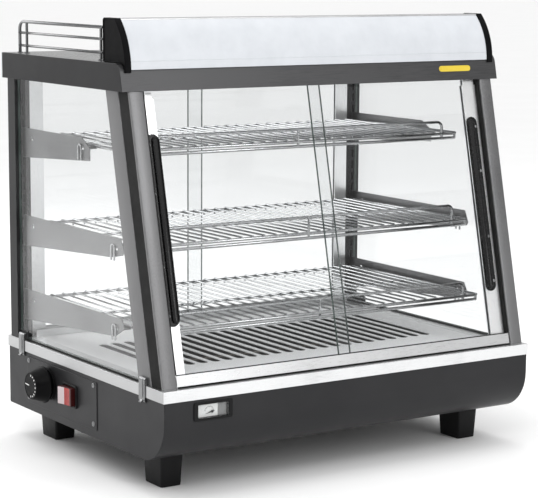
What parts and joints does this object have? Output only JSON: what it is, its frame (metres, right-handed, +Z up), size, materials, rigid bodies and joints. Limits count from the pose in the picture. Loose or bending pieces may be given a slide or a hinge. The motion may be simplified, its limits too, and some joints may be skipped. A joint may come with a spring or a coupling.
{
  "type": "hot food display case",
  "caption": "Countertop heated food display case with a leaning glazed hood, sliding doors front and back, wire shelves, curved heated base and a lit header.",
  "frame": {"origin": "middle of the whole case's footprint, on the counter under the feet", "axes": "+Z up, -Y out of the leaning front, +X to the right seen from the front"},
  "size_m": [0.7024, 0.5018, 0.6736],
  "materials": {
    "charcoal_paint": "satin textured",
    "pillar_paint": "satin metallic",
    "post_paint": "satin",
    "stainless": "brushed",
    "galvanised_steel": "matte",
    "heater_steel": "heat darkened",
    "chrome_wire": "bright",
    "spring_steel": "satin",
    "bracket_steel": "satin",
    "satin_aluminium": "satin anodised",
    "black_plastic": "fine texture",
    "black_paint": "satin",
    "seal_rubber": "matte",
    "clear_glass": "clear",
    "white_diffuser": "opal",
    "lamp_glass": "opal",
    "dial_white": "printed",
    "red_plastic": "translucent",
    "yellow_plastic": "gloss",
    "cream_plastic": "matte"
  },
  "bodies": {
    "cabinet": {"base_shell": "charcoal_paint", "base_side_left": "charcoal_paint", "base_side_right": "charcoal_paint", "feet": "black_plastic", "rim_frame": "stainless", "deck_plate": "stainless", "heat_reflector": "galvanised_steel", "heating_elements": "heater_steel", "control_plate": "charcoal_paint", "panel_screws": "spring_steel", "thermostat_body": "cream_plastic", "switch_housing": "black_plastic", "thermometer_case": "black_plastic", "thermometer_dial": "dial_white", "thermometer_lens": "clear_glass", "terminal_block": "cream_plastic", "cable_gland": "black_plastic", "front_pillar_left": "pillar_paint", "front_pillar_right": "pillar_paint", "rear_post_left": "post_paint", "rear_post_right": "post_paint", "side_glass_left": "clear_glass", "side_glass_right": "clear_glass", "glass_seals": "seal_rubber", "front_bottom_track": "satin_aluminium", "front_top_track": "satin_aluminium", "rear_bottom_track": "satin_aluminium", "rear_top_track": "satin_aluminium", "roof_cap": "charcoal_paint", "roof_liner": "galvanised_steel", "badge": "yellow_plastic", "header_cap_left": "black_plastic", "header_cap_right": "black_plastic", "header_diffuser": "white_diffuser", "header_back": "black_paint", "header_lamp": "lamp_glass", "gallery_rail_left": "chrome_wire", "gallery_rail_right": "chrome_wire", "shelf_brackets_left": "bracket_steel", "shelf_brackets_right": "bracket_steel", "shelf_1_rack": "chrome_wire", "shelf_2_rack": "chrome_wire", "shelf_3_rack": "chrome_wire", "hold_down_clips": "spring_steel"},
    "knob": {"thermostat_knob": "black_plastic", "thermostat_spindle": "spring_steel"},
    "rocker_key": {"rocker": "red_plastic"},
    "gauge_needle": {"thermometer_needle": "black_plastic"},
    "front_door_left": {"front_door_left_glass": "clear_glass", "front_door_left_stile": "satin_aluminium", "front_door_left_handle": "black_plastic", "front_door_left_screws": "spring_steel"},
    "front_door_right": {"front_door_right_glass": "clear_glass", "front_door_right_stile": "satin_aluminium", "front_door_right_handle": "black_plastic", "front_door_right_screws": "spring_steel"},
    "rear_door_left": {"rear_door_left_glass": "clear_glass", "rear_door_left_stile": "satin_aluminium"},
    "rear_door_right": {"rear_door_right_glass": "clear_glass", "rear_door_right_stile": "satin_aluminium"}
  },
  "joints": [
    {"name": "thermostat_turn", "type": "hinge", "parent": "cabinet", "child": "knob", "pos_m": [-0.31975, 0.1031, 0.1073], "axis": [1, 0, 0], "range_deg": [0, 270]},
    {"name": "rocker_tip", "type": "hinge", "parent": "cabinet", "child": "rocker_key", "pos_m": [-0.31605, 0.0306, 0.1035], "axis": [0, 0, -1], "range_deg": [0, 20]},
    {"name": "needle_swing", "type": "hinge", "parent": "cabinet", "child": "gauge_needle", "pos_m": [-0.23805, -0.2454, 0.124], "axis": [0, 1, 0], "range_deg": [0, 150], "stiffness_Nm_per_rad": 0.0005},
    {"name": "front_door_left_slide", "type": "slide", "parent": "cabinet", "child": "front_door_left", "axis": [1, 0, 0], "range_m": [0, 0.27]},
    {"name": "front_door_right_slide", "type": "slide", "parent": "cabinet", "child": "front_door_right", "axis": [-1, 0, 0], "range_m": [0, 0.27]},
    {"name": "rear_door_left_slide", "type": "slide", "parent": "cabinet", "child": "rear_door_left", "axis": [1, 0, 0], "range_m": [0, 0.27]},
    {"name": "rear_door_right_slide", "type": "slide", "parent": "cabinet", "child": "rear_door_right", "axis": [-1, 0, 0], "range_m": [0, 0.27]}
  ]
}
